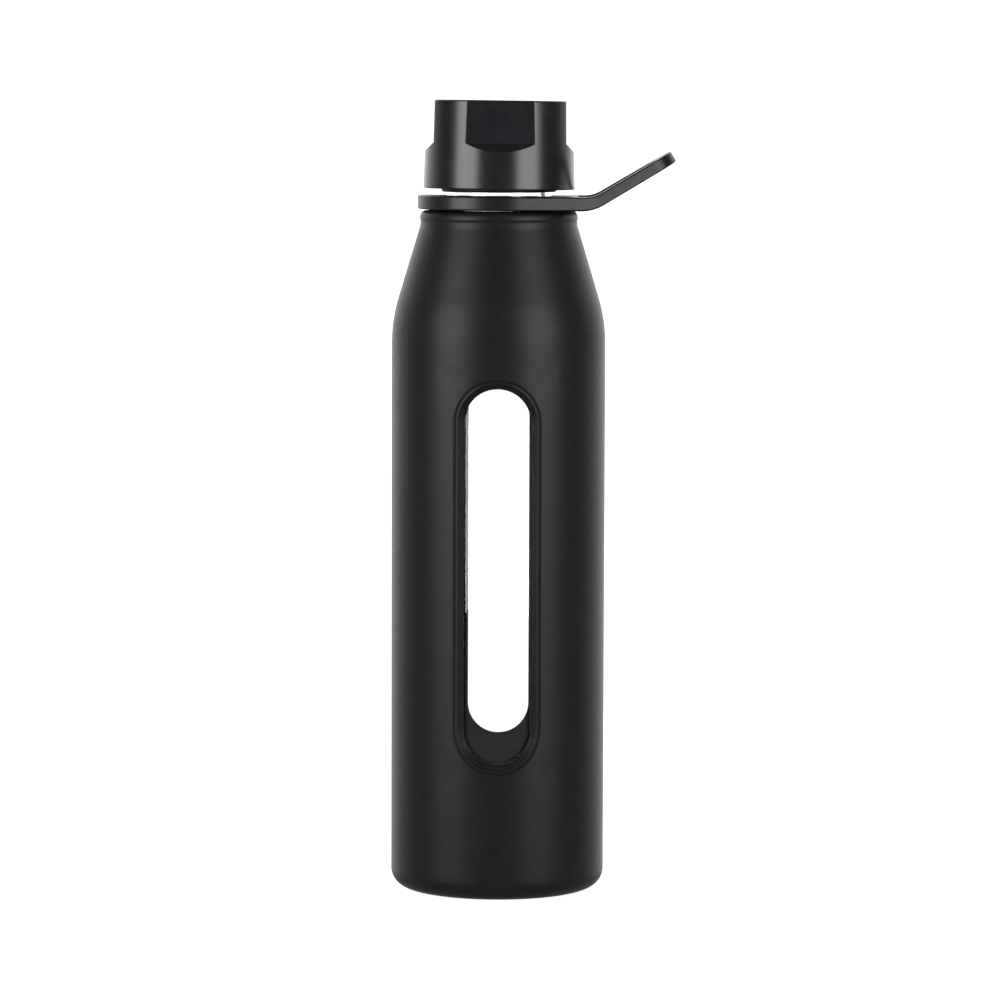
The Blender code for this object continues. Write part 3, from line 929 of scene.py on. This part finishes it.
def make_shell():
    points, faces = skin(shell_rows(shell_angles()))
    foot = Vector((0, 0, CAP_BASE_Z))
    askew = Matrix.Rotation(CAP_LEAN, 3, "Y") @ Matrix.Rotation(CAP_TURN, 3, "Z")
    points = [askew @ (Vector(point) - foot) + foot for point in points]
    shell = mesh_object("cap_shell_skin", points, faces, cap_material())
    shell.data.set_sharp_from_angle(angle=math.radians(50))
    stands_for(shell, "cap_shell", "cap")


def liner_profile():
    bore_r = LINER_R - LINER_WALL
    low_z = liner_low.z
    roof_z = CAP_BASE_Z + LINER_ROOF_H
    profile = [(0.0, liner_high.z)]
    profile += arc((LINER_R - 0.5, liner_high.z - 0.5), 0.5, 90, 0, 5)
    edge_r = LINER_EDGE_R
    profile += [(LINER_R, z) for z in spread(liner_high.z - 0.5, low_z + edge_r, 8)[1:-1]]
    profile += arc((LINER_R - edge_r, low_z + edge_r), edge_r, 0, -90, 7)
    profile += arc((bore_r + 0.3, low_z + 0.3), 0.3, -90, -180, 4)
    profile += [(bore_r, z) for z in spread(low_z + 0.3, roof_z, 84)[1:]]
    profile.append((0.0, roof_z))
    return profile


def bore_radius(r, z, angle):
    if abs(r - (LINER_R - LINER_WALL)) > 0.001:
        return r
    start_z = THREAD_START_Z - THREAD_PITCH / 2
    return r - ridge_height(z, angle, start_z, LINER_THREAD_TURNS, LINER_RIDGE_R)


def make_liner():
    rows = turned_rows(liner_profile(), even_angles(120), bore_radius)
    liner = mesh_object("cap_liner_skin", *skin(rows), liner_material())
    liner.data.set_sharp_from_angle(angle=math.radians(50))
    stands_for(liner, "cap_liner", "cap")


def make_gasket():
    low, high = gasket_low.z, gasket_high.z
    edge = 0.45
    profile = arc((GASKET_OUT_R - edge, high - edge), edge, 90, 0, 5)
    profile += arc((GASKET_OUT_R - edge, low + edge), edge, 0, -90, 5)
    profile += arc((GASKET_IN_R + edge, low + edge), edge, -90, -180, 5)
    profile += arc((GASKET_IN_R + edge, high - edge), edge, 180, 90, 5)
    rows = turned_rows(profile, even_angles(96))
    gasket = mesh_object("cap_gasket_skin", *skin(rows, wrap=True), gasket_material())
    stands_for(gasket, "cap_gasket", "seal")


# Strap


def fillet(before, corner, after, radius, steps):
    """Points that round a corner of an outline."""
    corner = Vector(corner)
    to_before = (Vector(before) - corner).normalized()
    to_after = (Vector(after) - corner).normalized()
    half = to_before.angle(to_after) / 2
    bisector = (to_before + to_after).normalized()
    centre = corner + bisector * radius / math.sin(half)
    start = corner + to_before * radius / math.tan(half) - centre
    turn = math.pi - 2 * half
    if to_before.cross(to_after) > 0:
        turn = -turn
    points = []
    for i in range(steps + 1):
        points.append(tuple(centre + Matrix.Rotation(turn * i / steps, 2) @ start))
    return points


def strap_half_width(u):
    """Half the strap's width on its tapering sides, u from the axis."""
    tangent_u = STRAP_RING_R * math.sin(STRAP_TAPER)
    tangent_y = STRAP_RING_R * math.cos(STRAP_TAPER)
    return tangent_y - (u - tangent_u) * math.tan(STRAP_TAPER)


def strap_outlines():
    """The flat plate's outside, neck hole and finger hole."""
    lean = math.degrees(STRAP_TAPER)
    ring = arc((0.0, 0.0), STRAP_RING_R, 90 - lean, 270 + lean, 96)
    end_y = strap_half_width(STRAP_END_U)
    low_end = (STRAP_END_U, -end_y)
    high_end = (STRAP_END_U, end_y)
    outside = list(ring)
    outside += fillet(ring[-1], low_end, high_end, STRAP_END_CORNER_R, 24)
    outside += fillet(low_end, high_end, ring[0], STRAP_END_CORNER_R, 24)
    neck_hole = arc((0.0, 0.0), STRAP_HOLE_R, 0, 357, 119)
    far_u = STRAP_END_U - STRAP_BAND
    near_y = strap_half_width(LOOP_START_U) - STRAP_BAND
    far_y = strap_half_width(far_u) - STRAP_BAND
    corners = [
        (LOOP_START_U, near_y),
        (LOOP_START_U, -near_y),
        (far_u, -far_y),
        (far_u, far_y),
    ]
    radii = [LOOP_NEAR_CORNER_R] * 2 + [LOOP_FAR_CORNER_R] * 2
    finger_hole = []
    for i, corner in enumerate(corners):
        after = corners[(i + 1) % len(corners)]
        finger_hole += fillet(corners[i - 1], corner, after, radii[i], 14)
    return [outside, neck_hole, finger_hole]


def bent(u, y, h):
    """Where a point of the flat plate goes when its loop is turned up and thinned."""
    along = u - BEND_START_U
    if along <= 0:
        return Vector((u, y, h))
    angle = min(along / BEND_R, BEND_ANGLE)
    h *= 1 + (LOOP_THICK / STRAP_THICK - 1) * angle / BEND_ANGLE
    straight = max(0.0, along - BEND_R * BEND_ANGLE)
    x = BEND_START_U + (BEND_R - h) * math.sin(angle) + straight * math.cos(angle)
    z = BEND_R - (BEND_R - h) * math.cos(angle) + straight * math.sin(angle)
    return Vector((x, y, z))


def ring_sag(x, y):
    """How far the ring hangs down here: nothing at the front, the most at the back."""
    back = max(y, 0.0) / STRAP_RING_R
    return STRAP_SAG * back**2 * min(max(1 - x / STRAP_RING_R, 0.0), 1.0)


def plate_mesh(outlines):
    """A flat plate with holes and rounded edges, centred on Z = 0."""
    curve = bpy.data.curves.new("strap_outline", "CURVE")
    curve.dimensions = "2D"
    curve.fill_mode = "BOTH"
    curve.extrude = (STRAP_THICK / 2 - STRAP_EDGE) * MM
    curve.bevel_depth = STRAP_EDGE * MM
    curve.bevel_resolution = 4
    curve.offset = -STRAP_EDGE * MM
    for outline in outlines:
        spline = curve.splines.new("POLY")
        spline.points.add(len(outline) - 1)
        for i, (x, y) in enumerate(outline):
            spline.points[i].co = (x * MM, y * MM, 0.0, 1.0)
        spline.use_cyclic_u = True
    holder = bpy.data.objects.new("strap_outline", curve)
    bpy.context.scene.collection.objects.link(holder)
    graph = bpy.context.evaluated_depsgraph_get()
    mesh = bpy.data.meshes.new_from_object(holder.evaluated_get(graph))
    bpy.data.objects.remove(holder, do_unlink=True)
    bpy.data.curves.remove(curve)
    return mesh


def make_strap():
    mesh = plate_mesh(strap_outlines())
    bm = bmesh.new()
    bm.from_mesh(mesh)
    bmesh.ops.remove_doubles(bm, verts=bm.verts, dist=0.000002)
    bmesh.ops.recalc_face_normals(bm, faces=bm.faces)
    for u in spread(BEND_START_U, BEND_START_U + BEND_R * BEND_ANGLE, BEND_CUTS):
        bmesh.ops.bisect_plane(
            bm,
            geom=bm.verts[:] + bm.edges[:] + bm.faces[:],
            dist=0.000001,
            plane_co=(u * MM, 0.0, 0.0),
            plane_no=(1.0, 0.0, 0.0),
        )
    askew = Matrix.Rotation(STRAP_LEAN, 3, "Y")
    for vert in bm.verts:
        point = bent(*(vert.co / MM))
        point.z -= ring_sag(point.x, point.y)
        vert.co = (askew @ point + Vector((0, 0, STRAP_MID_Z))) * MM
    bm.to_mesh(mesh)
    bm.free()
    mesh.name = "carry_strap_skin"
    mesh.shade_smooth()
    mesh.set_sharp_from_angle(angle=math.radians(40))
    mesh.materials.clear()
    mesh.materials.append(strap_material())
    strap = bpy.data.objects.new("carry_strap_skin", mesh)
    bpy.context.scene.collection.objects.link(strap)
    even = strap.modifiers.new("even_normals", "WEIGHTED_NORMAL")
    even.keep_sharp = True
    stands_for(strap, "carry_strap", "strap")


add_studio()
make_sleeve()
make_glass()
make_shell()
make_liner()
make_gasket()
make_strap()
